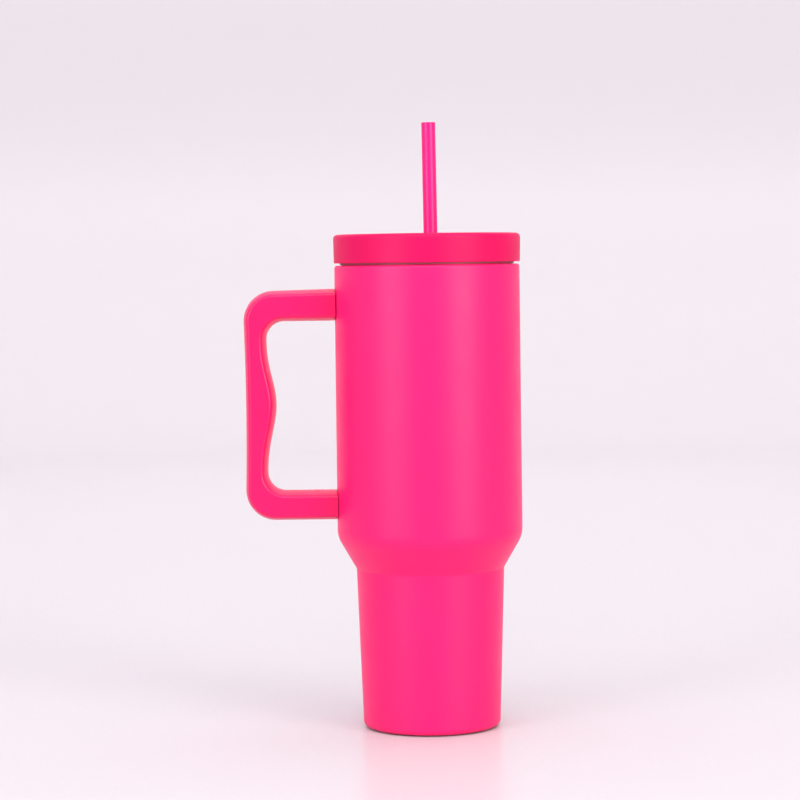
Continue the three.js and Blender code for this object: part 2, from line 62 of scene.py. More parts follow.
def low(node):
    """Lowest corner of a CAD node's box, in millimetres."""
    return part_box(node)[0] / MM


def high(node):
    """Highest corner of a CAD node's box, in millimetres."""
    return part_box(node)[1] / MM


def middle(node):
    return (low(node) + high(node)) / 2


def widest(node):
    """Radius of a turned node that stands on the cup's axis."""
    return high(node).x


# ------------------------------------------------------------------ camera

CAMERA_DISTANCE = 1.350
CAMERA_HEIGHT = 0.2505
CAMERA_PITCH = math.radians(3.16)   # looking down
CAMERA_YAW = math.radians(0.648)    # looking towards the handle's side
CAMERA_ROLL = math.radians(0.735)
CAMERA_LENS = 113.4                 # millimetres, in front of a sensor of the width below
CAMERA_SENSOR = 36
CAMERA_CLIP = 50                    # metres


def make_camera():
    data = bpy.data.cameras.new("camera")
    data.lens = CAMERA_LENS
    data.sensor_width = CAMERA_SENSOR
    data.clip_end = CAMERA_CLIP
    camera = bpy.data.objects.new("camera", data)
    bpy.context.scene.collection.objects.link(camera)
    level = Vector((-math.sin(CAMERA_YAW), math.cos(CAMERA_YAW), 0))
    right = Vector((math.cos(CAMERA_YAW), math.sin(CAMERA_YAW), 0))
    forward = level * math.cos(CAMERA_PITCH) - Vector((0, 0, math.sin(CAMERA_PITCH)))
    up = level * math.sin(CAMERA_PITCH) + Vector((0, 0, math.cos(CAMERA_PITCH)))
    side = right * math.cos(CAMERA_ROLL) - up * math.sin(CAMERA_ROLL)
    top = up * math.cos(CAMERA_ROLL) + right * math.sin(CAMERA_ROLL)
    turn = Matrix((side, top, -forward)).transposed().to_4x4()
    camera.matrix_world = Matrix.Translation((0, -CAMERA_DISTANCE, CAMERA_HEIGHT)) @ turn
    bpy.context.scene.camera = camera


# ------------------------------------------------------------------ materials

MIX_FACTOR, MIX_FIRST, MIX_SECOND, MIX_RESULT = 0, 6, 7, 2   # a Mix node's sockets for two colours


class Nodes:
    """A small writer for one material's node tree."""

    def __init__(self, name):
        self.material = bpy.data.materials.new(name)
        self.material.use_nodes = True
        self.tree = self.material.node_tree
        self.shader = self.tree.nodes["Principled BSDF"]
        self.place = self.add("ShaderNodeTexCoord").outputs["Object"]

    def add(self, kind, **settings):
        node = self.tree.nodes.new(kind)
        for key, value in settings.items():
            setattr(node, key, value)
        return node

    def link(self, source, target):
        self.tree.links.new(source, target)

    def stretched(self, scale):
        """The place on the object, with each axis multiplied by a number of its own."""
        mapping = self.add("ShaderNodeMapping")
        mapping.inputs["Scale"].default_value = scale
        self.link(self.place, mapping.inputs["Vector"])
        return mapping.outputs["Vector"]

    def noise(self, scale, detail, roughness, place=None):
        node = self.add("ShaderNodeTexNoise")
        node.inputs["Scale"].default_value = scale
        node.inputs["Detail"].default_value = detail
        node.inputs["Roughness"].default_value = roughness
        self.link(place or self.place, node.inputs["Vector"])
        return node.outputs["Fac"]

    def cells(self, scale):
        node = self.add("ShaderNodeTexVoronoi", feature="SMOOTH_F1")
        node.inputs["Scale"].default_value = scale
        self.link(self.place, node.inputs["Vector"])
        return node.outputs["Distance"]

    def spread(self, value, from_low, from_high, to_low, to_high):
        """A value taken from one range to another, and held inside it."""
        node = self.add("ShaderNodeMapRange")
        for key, number in (("From Min", from_low), ("From Max", from_high),
                            ("To Min", to_low), ("To Max", to_high)):
            node.inputs[key].default_value = number
        self.link(value, node.inputs["Value"])
        return node.outputs["Result"]

    def colours(self, value, *stops):
        """A colour ramp of (position, (r, g, b)) stops."""
        node = self.add("ShaderNodeValToRGB")
        ramp = node.color_ramp
        while len(ramp.elements) < len(stops):
            ramp.elements.new(0.5)
        for element, (position, colour) in zip(ramp.elements, stops):
            element.position = position
            element.color = (*colour, 1)
        self.link(value, node.inputs["Fac"])
        return node.outputs["Color"]

    def sum(self, first, second, share):
        """The first pattern plus a share of the second."""
        node = self.add("ShaderNodeMath", operation="MULTIPLY_ADD")
        node.inputs[1].default_value = share
        self.link(second, node.inputs[0])
        self.link(first, node.inputs[2])
        return node.outputs["Value"]

    def paint(self, colour):
        self.link(colour, self.shader.inputs["Base Color"])

    def roughen(self, pattern, from_low, from_high, smoothest, roughest):
        """Lets the roughness follow a pattern."""
        roughness = self.spread(pattern, from_low, from_high, smoothest, roughest)
        self.link(roughness, self.shader.inputs["Roughness"])

    def bump(self, height, distance, strength):
        """Surface detail from a pattern, its height in metres."""
        node = self.add("ShaderNodeBump")
        node.inputs["Distance"].default_value = distance
        node.inputs["Strength"].default_value = strength
        self.link(height, node.inputs["Height"])
        self.link(node.outputs["Normal"], self.shader.inputs["Normal"])

    def set(self, **values):
        """Constants on the shader's own sockets, with _ for a space in the socket's name."""
        for key, value in values.items():
            self.shader.inputs[key.replace("_", " ")].default_value = value


def shade(colour, factor):
    return tuple(channel * factor for channel in colour)


def coated(name, colour, roughness, grain, grain_height, gloss=0.33):
    """Paint or moulded plastic: a fine surface grain, faint drifts of colour and uneven gloss."""
    m = Nodes(name)
    drift = m.noise(scale=9, detail=2, roughness=0.5)
    m.paint(m.colours(drift, (0.32, shade(colour, 0.965)), (0.68, colour)))
    uneven = m.noise(scale=60, detail=3, roughness=0.6)
    m.roughen(uneven, 0.3, 0.7, roughness - 0.03, roughness + 0.04)
    grains = m.noise(scale=grain, detail=2, roughness=0.5)
    pebbles = m.cells(scale=grain * 0.55)
    m.bump(m.sum(grains, pebbles, 0.6), grain_height, 0.5)
    m.set(Specular_IOR_Level=gloss)
    return m.material


def brushed(name, colour, roughness, metal=1.0, spin=0.0, lip=None):
    """Steel spun or brushed round the cup's axis: fine streaks that run round it.

    The lip, a pair of radius in metres and colour, is what lies outside that radius, painted in that
    colour: a painted shade and painted pink reflection for the lip's place in the shadow under the lid.
    """
    m = Nodes(name)
    round_the_axis = m.stretched((35, 35, 2600))
    streaks = m.noise(scale=1, detail=4, roughness=0.65, place=round_the_axis)
    tone = m.colours(streaks, (0.3, shade(colour, 0.82)), (0.7, colour))
    # painted shade: outside the lip radius the steel turns dark pinkish red, standing in for the shade
    # and pink reflection under the lid
    if lip:
        radius, shade_tint = lip
        soft_edge = 0.0002
        from_axis = m.add("ShaderNodeVectorMath", operation="LENGTH")
        m.link(m.stretched((1, 1, 0)), from_axis.inputs[0])
        painted_shade = m.add("ShaderNodeMix", data_type="RGBA")
        outside = m.spread(from_axis.outputs["Value"], radius - soft_edge, radius, 0, 1)
        m.link(outside, painted_shade.inputs[MIX_FACTOR])
        m.link(tone, painted_shade.inputs[MIX_FIRST])
        painted_shade.inputs[MIX_SECOND].default_value = (*shade_tint, 1)
        tone = painted_shade.outputs[MIX_RESULT]
    m.paint(tone)
    m.roughen(streaks, 0.25, 0.75, roughness - 0.06, roughness + 0.1)
    m.bump(streaks, 0.00003, 0.6)
    m.set(Metallic=metal, Anisotropic=spin)
    if spin:
        tangent = m.add("ShaderNodeTangent", direction_type="RADIAL", axis="Z")
        m.link(tangent.outputs["Tangent"], m.shader.inputs["Tangent"])
    return m.material


def matt_rubber(name, colour):
    m = Nodes(name)
    mottle = m.noise(scale=140, detail=4, roughness=0.6)
    m.paint(m.colours(mottle, (0.3, shade(colour, 0.88)), (0.7, colour)))
    m.roughen(mottle, 0.3, 0.7, 0.58, 0.74)
    m.bump(m.noise(scale=1500, detail=2, roughness=0.5), 0.00002, 0.5)
    m.set(Sheen_Weight=0.12, Sheen_Roughness=0.5)
    return m.material


def crumpled_foil(name, colour):
    m = Nodes(name)
    creases = m.cells(scale=70)
    m.paint(m.colours(creases, (0.0, shade(colour, 0.8)), (0.6, colour)))
    m.roughen(creases, 0.0, 0.8, 0.16, 0.34)
    wrinkles = m.noise(scale=300, detail=3, roughness=0.6)
    m.bump(m.sum(creases, wrinkles, 0.3), 0.0004, 0.6)
    m.set(Metallic=1.0)
    return m.material


def sintered(name, colour):
    """Pressed metal powder, dull and full of pores."""
    m = Nodes(name)
    pores = m.noise(scale=1400, detail=4, roughness=0.7)
    m.paint(m.colours(pores, (0.3, shade(colour, 0.6)), (0.7, shade(colour, 1.2))))
    m.roughen(pores, 0.3, 0.7, 0.55, 0.8)
    m.bump(pores, 0.0001, 0.8)
    m.set(Metallic=0.6)
    return m.material


LIP_PAINTED_SHADE = (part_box("inner_vessel")[1].x - 0.0003, (0.40, 0.10, 0.13))   # painted shade and painted pink reflection, on just the lip's outer side

POWDER_COAT = coated("powder_coat_pink", (0.91, 0.0066, 0.15), roughness=0.41,
                     grain=1500, grain_height=0.00003)
HANDLE_PLASTIC = coated("handle_plastic_pink", (0.82, 0.0043, 0.116), roughness=0.34,
                        grain=2200, grain_height=0.000015)
LID_PLASTIC = coated("lid_plastic_pink", (0.67, 0.0012, 0.09), roughness=0.45,
                     grain=2200, grain_height=0.000015, gloss=0.17)
STRAW_PLASTIC = coated("straw_plastic_pink", (0.9, 0.008, 0.19), roughness=0.32,
                       grain=900, grain_height=0.000006, gloss=0.3)
SILICONE = matt_rubber("silicone_red_pink", (0.62, 0.03, 0.13))
BRUSHED_STEEL = brushed("brushed_steel", (0.56, 0.53, 0.51), roughness=0.3)
SPUN_STEEL = brushed("spun_steel", (0.66, 0.63, 0.61), roughness=0.5, metal=0.72, spin=0.6,
                     lip=LIP_PAINTED_SHADE)
FOIL = crumpled_foil("crumpled_foil", (0.75, 0.75, 0.77))
GETTER = sintered("sintered_getter", (0.16, 0.16, 0.15))


# ------------------------------------------------------------------ outlines

BRACE = 0.35                      # millimetres from a long straight's ends to the points that hold it


def arc(centre_x, centre_z, radius, start, end, steps):
    """Points (x, z) on an arc, its angles counted from +X towards +Z."""
    points = []
    for i in range(steps + 1):
        angle = start + (end - start) * i / steps
        points.append((centre_x + radius * math.cos(angle), centre_z + radius * math.sin(angle)))
    return points


def bend(start, corner, end, steps):
    """Points on the parabola that leaves start towards a corner and comes from the corner to end."""
    points = []
    for k in range(steps + 1):
        t = k / steps
        points.append(tuple(start * (1 - t) ** 2 + corner * 2 * t * (1 - t) + end * t ** 2))
    return points


def bezier(start, pull_start, pull_end, end, steps):
    """Points on a cubic curve."""
    corners = [Vector(p) for p in (start, pull_start, pull_end, end)]
    points = []
    for k in range(steps + 1):
        t = k / steps
        weights = ((1 - t) ** 3, 3 * t * (1 - t) ** 2, 3 * t * t * (1 - t), t ** 3)
        points.append(tuple(sum((p * w for p, w in zip(corners, weights)), Vector((0, 0)))))
    return points


def rounded(corners, steps=5):
    """An outline of (x, z, rounding radius) corners, closed, with every corner rounded off."""
    outline = []
    count = len(corners)
    for i, (x, z, radius) in enumerate(corners):
        if radius == 0:
            outline.append((x, z))
            continue
        here = Vector((x, z))
        before = Vector(corners[i - 1][:2]) - here
        after = Vector(corners[(i + 1) % count][:2]) - here
        half = before.angle(after) / 2
        reach = min(radius / math.tan(half), before.length * 0.49, after.length * 0.49)
        start = here + before.normalized() * reach
        end = here + after.normalized() * reach
        outline += bend(start, here, end, steps)
    return outline


def braced(profile, open_ended):
    """The profile with a point near both ends of each long straight, which keeps its shading even."""
    points = [Vector(p) for p in profile]
    if not open_ended:
        points.append(points[0])
    result = []
    for a, b in zip(points, points[1:]):
        result.append(a)
        length = (b - a).length
        if length > 4 * BRACE:
            result.append(a.lerp(b, BRACE / length))
            result.append(b.lerp(a, BRACE / length))
    if open_ended:
        result.append(points[-1])
    return result


def sheet_profile(path, thickness):
    """Closed profile of a sheet that lies on the left of a path along its outer side."""
    points = [Vector(p) for p in path]
    sides = []
    for a, b in zip(points, points[1:]):
        along = (b - a).normalized()
        sides.append(Vector((-along.y, along.x)))
    other = []
    for i, here in enumerate(points):
        before = sides[max(i - 1, 0)]
        after = sides[min(i, len(sides) - 1)]
        mitre = (before + after).normalized()
        other.append(here + mitre * (thickness / mitre.dot(before)))
    return [tuple(p) for p in points + other[::-1]]


def inset_outline(outline, distance):
    """A counter-clockwise closed outline moved inwards by a distance."""
    points = [Vector(p) for p in outline]
    count = len(points)
    result = []
    for i, here in enumerate(points):
        before = (here - points[i - 1]).normalized()
        after = (points[(i + 1) % count] - here).normalized()
        inward_before = Vector((-before.y, before.x))
        inward_after = Vector((-after.y, after.x))
        mitre = (inward_before + inward_after).normalized()
        result.append(here + mitre * (distance / mitre.dot(inward_before)))
    return result


# ------------------------------------------------------------------ mesh tools

SHARP = 35                        # degrees: an edge that turns more is shaded crisp
MERGE, SLIVER = 1e-4, 1e-5        # millimetres: points this close are one, shorter edges are dropped
WELD = 0.01                       # millimetres between points that a cut has left almost together
BEVEL_STEPS = 3
BEVEL_FROM = math.radians(30)     # an edge that turns less is not bevelled


def shade_crisp(mesh, sharp):
    mesh.shade_smooth()
    mesh.set_sharp_from_angle(angle=math.radians(sharp))


def finished(bm, name, sharp=SHARP):
    """An object from a bmesh in millimetres."""
    bmesh.ops.remove_doubles(bm, verts=bm.verts, dist=MERGE)
    bmesh.ops.dissolve_degenerate(bm, dist=SLIVER, edges=bm.edges)
    bmesh.ops.recalc_face_normals(bm, faces=bm.faces)
    bmesh.ops.scale(bm, vec=(MM, MM, MM), verts=bm.verts)
    mesh = bpy.data.meshes.new(name)
    bm.to_mesh(mesh)
    bm.free()
    shade_crisp(mesh, sharp)
    piece = bpy.data.objects.new(name, mesh)
    bpy.context.scene.collection.objects.link(piece)
    return piece


def turned(name, profile, steps=ROUND_STEPS):
    """A profile of (radius, height) turned about Z, either closed or starting and ending on the axis."""
    bm = bmesh.new()
    open_ended = profile[0][0] < 1e-6
    profile = braced(profile, open_ended)
    columns = []
    for i in range(steps):
        turn = 2 * math.pi * i / steps
        cosine, sine = math.cos(turn), math.sin(turn)
        columns.append([bm.verts.new((r * cosine, r * sine, z)) for r, z in profile])
    spans = len(profile) - 1 if open_ended else len(profile)
    for i in range(steps):
        here, there = columns[i], columns[(i + 1) % steps]
        for j in range(spans):
            k = (j + 1) % len(profile)
            bm.faces.new((here[j], there[j], there[k], here[k]))
    return finished(bm, name)


def slab(name, outline, bottom, top, bevel=0.0):
    """An outline of (x, y) points standing between two heights, with its edges softened if asked."""
    bm = bmesh.new()
    lower = [bm.verts.new((x, y, bottom)) for x, y in outline]
    face = bm.faces.new(lower)
    raised = bmesh.ops.extrude_face_region(bm, geom=[face])
    lifted = [v for v in raised["geom"] if isinstance(v, bmesh.types.BMVert)]
    bmesh.ops.translate(bm, verts=lifted, vec=(0, 0, top - bottom))
    piece = finished(bm, name)
    if bevel:
        soften(piece, bevel)
    return piece


def apply(piece, kind, sharp=SHARP, **settings):
    """Adds a modifier and makes its result the mesh."""
    modifier = piece.modifiers.new(kind.lower(), kind)
    for key, value in settings.items():
        setattr(modifier, key, value)
    bpy.context.view_layer.update()
    shape = piece.evaluated_get(bpy.context.evaluated_depsgraph_get())
    mesh = bpy.data.meshes.new_from_object(shape)
    piece.modifiers.clear()
    old = piece.data
    piece.data = mesh
    bpy.data.meshes.remove(old)
    shade_crisp(mesh, sharp)


def soften(piece, width):
    """Rounds a piece's edges by a width in millimetres."""
    apply(piece, "BEVEL", width=width * MM, segments=BEVEL_STEPS, limit_method="ANGLE",
          angle_limit=BEVEL_FROM)


def weld(piece, sharp=SHARP):
    """Merges the points that a cut has left almost on top of each other."""
    bm = bmesh.new()
    bm.from_mesh(piece.data)
    bmesh.ops.remove_doubles(bm, verts=bm.verts, dist=WELD * MM)
    bmesh.ops.dissolve_degenerate(bm, dist=WELD * MM / 2, edges=bm.edges)
    bm.to_mesh(piece.data)
    bm.free()
    shade_crisp(piece.data, sharp)


def cut(piece, *tools, sharp=SHARP):
    """Takes each tool's shape out of a piece."""
    for tool in tools:
        apply(piece, "BOOLEAN", sharp, operation="DIFFERENCE", solver="EXACT", object=tool)
        bpy.data.objects.remove(tool)
    weld(piece, sharp)


def join(piece, other):
    """Makes one solid of two."""
    apply(piece, "BOOLEAN", operation="UNION", solver="EXACT", object=other)
    bpy.data.objects.remove(other)
    weld(piece)


def standing(piece, x, y, z, flipped=False):
    """Moves a piece's mesh into place, upside down if asked."""
    if flipped:
        piece.data.transform(Matrix.Rotation(math.pi, 4, "X"))
    piece.data.transform(Matrix.Translation(Vector((x, y, z)) * MM))
    return piece


def put(piece, material, body, slot, *nodes):
    """Gives a piece its material and its body, and hides the CAD nodes that it stands for."""
    piece.data.materials.clear()
    piece.data.materials.append(material)
    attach(piece, body)
    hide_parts(*nodes)


# ------------------------------------------------------------------ steel body, in millimetres

STEEL = 0.5
SHOULDER_ANGLE = math.radians(30)   # slope of the shoulder, from the vertical
CREASE = (39.7, 85.8)               # radius and height where the cup-holder part meets the shoulder
CREASE_ROUND = 2.2
BODY_RADIUS = 49.7
SHOULDER_ROUND = 14.8
SHELL_TOP = 248.3
SHELL_TOP_RADIUS = 49.5
BASE_RADIUS = 36.95
BASE_ROUND = 2.8
PAD_PROUD = 0.6
LINER_RADIUS = 45.0
LINER_CREASE_HEIGHT = 88.2
LOWER_GAP = 4.2                     # from the shell's outer side to the liner's, in the cup-holder part
LIP_BOTTOM = 248.7


def shoulder_arc(crease, radius, round_radius):
    """Rounded corner between the sloping shoulder and the upright wall above it."""
    corner = crease[1] + (radius - crease[0]) / math.tan(SHOULDER_ANGLE)
    end = corner + round_radius * math.tan(SHOULDER_ANGLE / 2)
    return arc(radius - round_radius, end, round_radius, -SHOULDER_ANGLE, 0, 12)


def crease_fillet(crease, below):
    """Small hollow rounding where the slope starts, above a wall that comes up from a point below."""
    here = Vector(crease)
    down = (Vector(below) - here).normalized()
    up = Vector((math.sin(SHOULDER_ANGLE), math.cos(SHOULDER_ANGLE)))
    reach = CREASE_ROUND * math.tan(SHOULDER_ANGLE / 2)
    return bend(here + down * reach, here, here + up * reach, 5)


def lower_radius(height):
    """Radius of the shell's cup-holder part, which widens upwards."""
    foot = PAD_PROUD + BASE_ROUND
    return CREASE[0] - (CREASE[0] - BASE_RADIUS) * (CREASE[1] - height) / (CREASE[1] - foot)


def outer_shell():
    top_round = 1.35
    neck = 45.8
    opening = 32.6
    foot = (BASE_RADIUS, PAD_PROUD + BASE_ROUND)
    path = [
        (opening, PAD_PROUD),
        *arc(BASE_RADIUS - BASE_ROUND, foot[1], BASE_ROUND, -QUARTER, 0, 10),
        *crease_fillet(CREASE, foot),
        *shoulder_arc(CREASE, BODY_RADIUS, SHOULDER_ROUND),
        *arc(SHELL_TOP_RADIUS - top_round, SHELL_TOP - top_round, top_round, 0, QUARTER, 6),
        (neck, SHELL_TOP),
        (neck, high("outer_shell").z),
    ]
    shell = turned("shell_powder_coated", sheet_profile(path, STEEL))
    put(shell, POWDER_COAT, "vessel", "shell_coat", "outer_shell")


def inner_vessel():
    """The liner, from the middle of its floor up to the lip that is rolled out over the shell."""
    floor, floor_round = 7.2, 6.0
    shoulder_round = 10.0
    roll = 0.35
    lip_radius = widest("inner_vessel") - STEEL
    lip_top = high("inner_vessel").z - STEEL
    wall_foot = (lower_radius(floor + floor_round) - LOWER_GAP, floor + floor_round)
    crease = (lower_radius(LINER_CREASE_HEIGHT) - LOWER_GAP, LINER_CREASE_HEIGHT)
    path = [
        (0, floor),
        *arc(wall_foot[0] - floor_round, wall_foot[1], floor_round, -QUARTER, 0, 10),
        *crease_fillet(crease, wall_foot),
        *shoulder_arc(crease, LINER_RADIUS, shoulder_round),
        *arc(LINER_RADIUS + roll, lip_top - roll, roll, math.pi, QUARTER, 5),
        *arc(lip_radius - roll, lip_top - roll, roll, QUARTER, 0, 5),
        (lip_radius, LIP_BOTTOM),
    ]
    liner = turned("steel_liner", sheet_profile(path, STEEL))
    put(liner, SPUN_STEEL, "vessel", "bare_steel", "inner_vessel")


def base_pad():
    """A disc with three round grooves in its underside."""
    top = high("base_pad").z
    radius = widest("base_pad")
    half_width, depth = 0.9, 0.5
    shoulder_depth = 0.8 * depth
    edge, facet = 0.4, 0.12
    path = [(0, 0)]
    for centre in (12, 20, 28):
        path += [(centre - half_width, 0), (centre - half_width / 2, shoulder_depth), (centre, depth),
                 (centre + half_width / 2, shoulder_depth), (centre + half_width, 0)]
    path += [(radius - edge, 0), (radius - facet, facet), (radius, edge), (radius, top), (0, top)]
    pad = turned("base_pad_silicone", path)
    put(pad, SILICONE, "vessel", "silicone", "base_pad")


# ------------------------------------------------------------------ handle

HALF_WIDTH = 11.0
EDGE_START = math.radians(12)       # the rounded edge meets the flat side at this slight angle
EDGE_TURN = math.radians(68)        # where its tight part runs into the wide part
EDGE_TIGHT = 2.0                    # radius beside the flat side
EDGE_WIDE = 25.0                    # radius of the gently crowned outer and inner faces
EDGE_STEPS = 6
HANDLE_SHARP = 16                   # degrees: an edge of the handle that turns more is shaded crisp
SEAT_RADIUS = 50.05                 # the arms end at this distance from the cup's axis
INSIDE = -44.0                      # x well inside the body, where uncut arms and pockets end
UPPER_PALM, LOWER_PALM = 219.0, 128.2   # heights of the arms' faces that look at each other


def handle_outline():
    """The handle's side view, as (x, z) points counter-clockwise, its ends inside the body."""
    left, top, bottom = low("handle").x, 235.4, 112.3
    top_at_body = 236.2
    outer_round, inner_round = 16.2, 9.7
    waist, waist_top, waist_bottom = left + 0.87, 189, 158      # the outer face bows in a little
    grip, bump, bump_height = -86.5, -81.6, 174.5
    easing, bump_easing = 16.0, 0.7 * 16.0
    steps = 16
    outer, inner = left + outer_round, grip + inner_round
    upper_start, lower_start = UPPER_PALM - inner_round, LOWER_PALM + inner_round
    outer_flow = bezier((left, top - outer_round), (waist, waist_top), (waist, waist_bottom),
                        (left, bottom + outer_round), steps)
    lower_flow = bezier((grip, lower_start), (grip, lower_start + easing),
                        (bump, bump_height - bump_easing), (bump, bump_height), 2 * steps)
    upper_flow = bezier((bump, bump_height), (bump, bump_height + bump_easing),
                        (grip, upper_start - easing), (grip, upper_start), 2 * steps)
    return [
        (INSIDE, top_at_body),
        *arc(outer, top - outer_round, outer_round, QUARTER, 2 * QUARTER, steps),
        *outer_flow[1:-1],
        *arc(outer, bottom + outer_round, outer_round, 2 * QUARTER, 3 * QUARTER, steps),
        (INSIDE, bottom),
        (INSIDE, LOWER_PALM),
        *arc(inner, lower_start, inner_round, 3 * QUARTER, 2 * QUARTER, steps),
        *lower_flow[1:],
        *upper_flow[1:-1],
        *arc(inner, upper_start, inner_round, 2 * QUARTER, QUARTER, steps),
        (INSIDE, UPPER_PALM),
    ]


def edge_loops():
    """Distance from the middle plane, and inset from the outline, across one long edge."""
    places = []
    y, inset = HALF_WIDTH, 0
    for radius, start, end in ((EDGE_TIGHT, EDGE_START, EDGE_TURN), (EDGE_WIDE, EDGE_TURN, QUARTER)):
        for k in range(EDGE_STEPS + 1):
            angle = start + (end - start) * k / EDGE_STEPS
            places.append((y - radius * (math.cos(start) - math.cos(angle)),
                           inset - radius * (math.sin(angle) - math.sin(start))))
        y, inset = places[-1]
        if end < QUARTER:
            places.pop()
    return [(depth, distance - inset) for depth, distance in places]


def handle():
    """The outline swept across the handle's width, then cut to the body and for its fastenings."""
    outline = handle_outline()
    edge = edge_loops()
    loops = [(-y, inset) for y, inset in edge] + edge[::-1]
    bm = bmesh.new()
    rings = []
    for y, inset in loops:
        rings.append([bm.verts.new((p[0], y, p[1])) for p in inset_outline(outline, inset)])
    count = len(outline)
    for lower, upper in zip(rings, rings[1:]):
        for i in range(count):
            j = (i + 1) % count
            bm.faces.new((lower[i], lower[j], upper[j], upper[i]))
    bm.faces.new(rings[0])
    bm.faces.new(rings[-1])
    grip = finished(bm, "side_handle", HANDLE_SHARP)
    seat_bottom, seat_top = 100, 250
    seat = turned("seat_tool", [(0, seat_bottom), (SEAT_RADIUS, seat_bottom),
                                (SEAT_RADIUS, seat_top), (0, seat_top)])
    tools = [seat]
    for name in PALMS:
        tools += fastening_tools(name)
    cut(grip, *tools, sharp=HANDLE_SHARP)
    put(grip, HANDLE_PLASTIC, "vessel", "handle_plastic", "handle")


# ------------------------------------------------------------------ handle fastenings

FIT = 0.3                           # gap left between pieces that touch
BEYOND = 1                          # how far a cutter passes the face that it goes through
SCREW_X = -61.0
SCREW_RADIUS = 2.0
SCREW_HOLE_DEPTH = 10
COUNTERBORE_DEPTH = 3.0
COUNTERBORE_RADIUS = 4.1
TONGUE_HALF_HEIGHT, TONGUE_HALF_WIDTH = 3.4, 6.0
BRACKET_FOOT_X = -53.2              # the bracket's foot lies between here and the body
PALMS = {"upper": (UPPER_PALM, 1), "lower": (LOWER_PALM, -1)}   # height, and the way in


def round_tool(radius, bottom, top, x, y):
    outline = [(0, bottom), (radius, bottom), (radius, top), (0, top)]
    return standing(turned("round_tool", outline, SMALL_STEPS), x, y, 0)


def block_tool(corner, opposite):
    outline = [(corner[0], corner[1]), (opposite[0], corner[1]),
               (opposite[0], opposite[1]), (corner[0], opposite[1])]
    return slab("block_tool", outline, corner[2], opposite[2])


def fastening_tools(name):
    """Cutters for one arm's bracket pocket and screw hole."""
    palm, way = PALMS[name]
    clearance = FIT + 0.1
    bracket_low, bracket_high = low(f"{name}_bracket"), high(f"{name}_bracket")
    centre = (bracket_low.z + bracket_high.z) / 2
    tongue_half, tongue_wide = TONGUE_HALF_HEIGHT + clearance, TONGUE_HALF_WIDTH + clearance
    foot_half = (bracket_high.z - bracket_low.z) / 2 + clearance
    foot_wide = bracket_high.y + clearance
    bore = SCREW_RADIUS + FIT
    screw_hole = turned("screw_hole_tool", [
        (0, -BEYOND), (COUNTERBORE_RADIUS, -BEYOND), (COUNTERBORE_RADIUS, COUNTERBORE_DEPTH),
        (bore, COUNTERBORE_DEPTH), (bore, SCREW_HOLE_DEPTH), (0, SCREW_HOLE_DEPTH),
    ], SMALL_STEPS)
    return [
        block_tool((bracket_low.x - clearance, -tongue_wide, centre - tongue_half),
                   (INSIDE, tongue_wide, centre + tongue_half)),
        block_tool((BRACKET_FOOT_X - clearance, -foot_wide, centre - foot_half),
                   (INSIDE, foot_wide, centre + foot_half)),
        standing(screw_hole, SCREW_X, 0, palm, way < 0),
    ]


def fastenings():
    """A flush cap over a socket-head screw, up into the upper arm and down into the lower one."""
    cap_radius = COUNTERBORE_RADIUS - FIT
    cap_face, cap_back = 0.1, 1.1
    head_radius, head, seat, tip = 3.6, 1.6, 2.9, 9
    socket_radius = 1.6
    socket_floor = head + 0.6
    for name, (palm, way) in PALMS.items():
        cap = turned(f"{name}_flush_cap", rounded([
            (0, cap_face, 0), (cap_radius, cap_face, 0.3), (cap_radius, cap_back, 0.15),
            (0, cap_back, 0),
        ]), SMALL_STEPS)
        standing(cap, SCREW_X, 0, palm, way < 0)
        put(cap, HANDLE_PLASTIC, "vessel", "handle_plastic", f"{name}_screw_cap")
        screw = turned(f"{name}_arm_screw", rounded([
            (0, socket_floor, 0), (socket_radius, socket_floor, 0.1), (socket_radius, head, 0.15),
            (head_radius, head, 0.3), (head_radius, seat, 0.1), (SCREW_RADIUS, seat, 0.2),
            (SCREW_RADIUS, tip, 0.4), (0, tip, 0),
        ]), SMALL_STEPS)
        standing(screw, SCREW_X, 0, palm, way < 0)
        put(screw, BRUSHED_STEEL, "vessel", "bare_steel", f"{name}_handle_screw")


# ------------------------------------------------------------------ lid

DECK_BOTTOM, DECK_TOP = 254.8, 257.2
FLANGE_BOTTOM, FLANGE_TOP = 256.4, 258.6
FLANGE_OUTER, FLANGE_INNER = 46.8, 39.2
COVER_BOTTOM, COVER_TOP = 258.9, 261.3
PIVOT_BORE = 3.0
PLUG_RADIUS, PLUG_INNER = 43.3, 40.6
GROOVE_RADIUS, GROOVE_BOTTOM, GROOVE_TOP = 42.0, 242.2, 247.2
SIP_INNER, SIP_OUTER, SIP_HALF_ANGLE = 27.0, 35.0, 0.35
SIP_MARGIN = 1.2
COVER_TRAVEL = math.radians(60)
SECTOR_STEPS = 32                   # facets along a curved slot or a piece of a ring

STRAW_PLACE = middle("straw_grommet")
STRAW_DISTANCE = math.hypot(STRAW_PLACE.x, STRAW_PLACE.y)
STRAW_DIRECTION = math.atan2(STRAW_PLACE.y, STRAW_PLACE.x)
STRAW_HOLE = 6.0
SIP_DIRECTION = STRAW_DIRECTION + math.pi


def ring_sector(name, inner, outer, start, end, bottom, top, bevel=0.0):
    """A piece of a ring between two radii and two angles."""
    outline = arc(0, 0, outer, start, end, SECTOR_STEPS) + arc(0, 0, inner, end, start, SECTOR_STEPS)
    return slab(name, outline, bottom, top, bevel)


def round_slot(radius, half_width, start, end, bottom, top):
    """Cutter for a curved slot with round ends."""
    near = (radius * math.cos(start), radius * math.sin(start))
    far = (radius * math.cos(end), radius * math.sin(end))
    end_steps = SECTOR_STEPS // 2
    outline = [
        *arc(0, 0, radius + half_width, start, end, SECTOR_STEPS),
        *arc(*far, half_width, end, end + math.pi, end_steps)[1:-1],
        *arc(0, 0, radius - half_width, end, start, SECTOR_STEPS),
        *arc(*near, half_width, start + math.pi, start + 2 * math.pi, end_steps)[1:-1],
    ]
    return slab("slot_tool", outline, bottom, top)


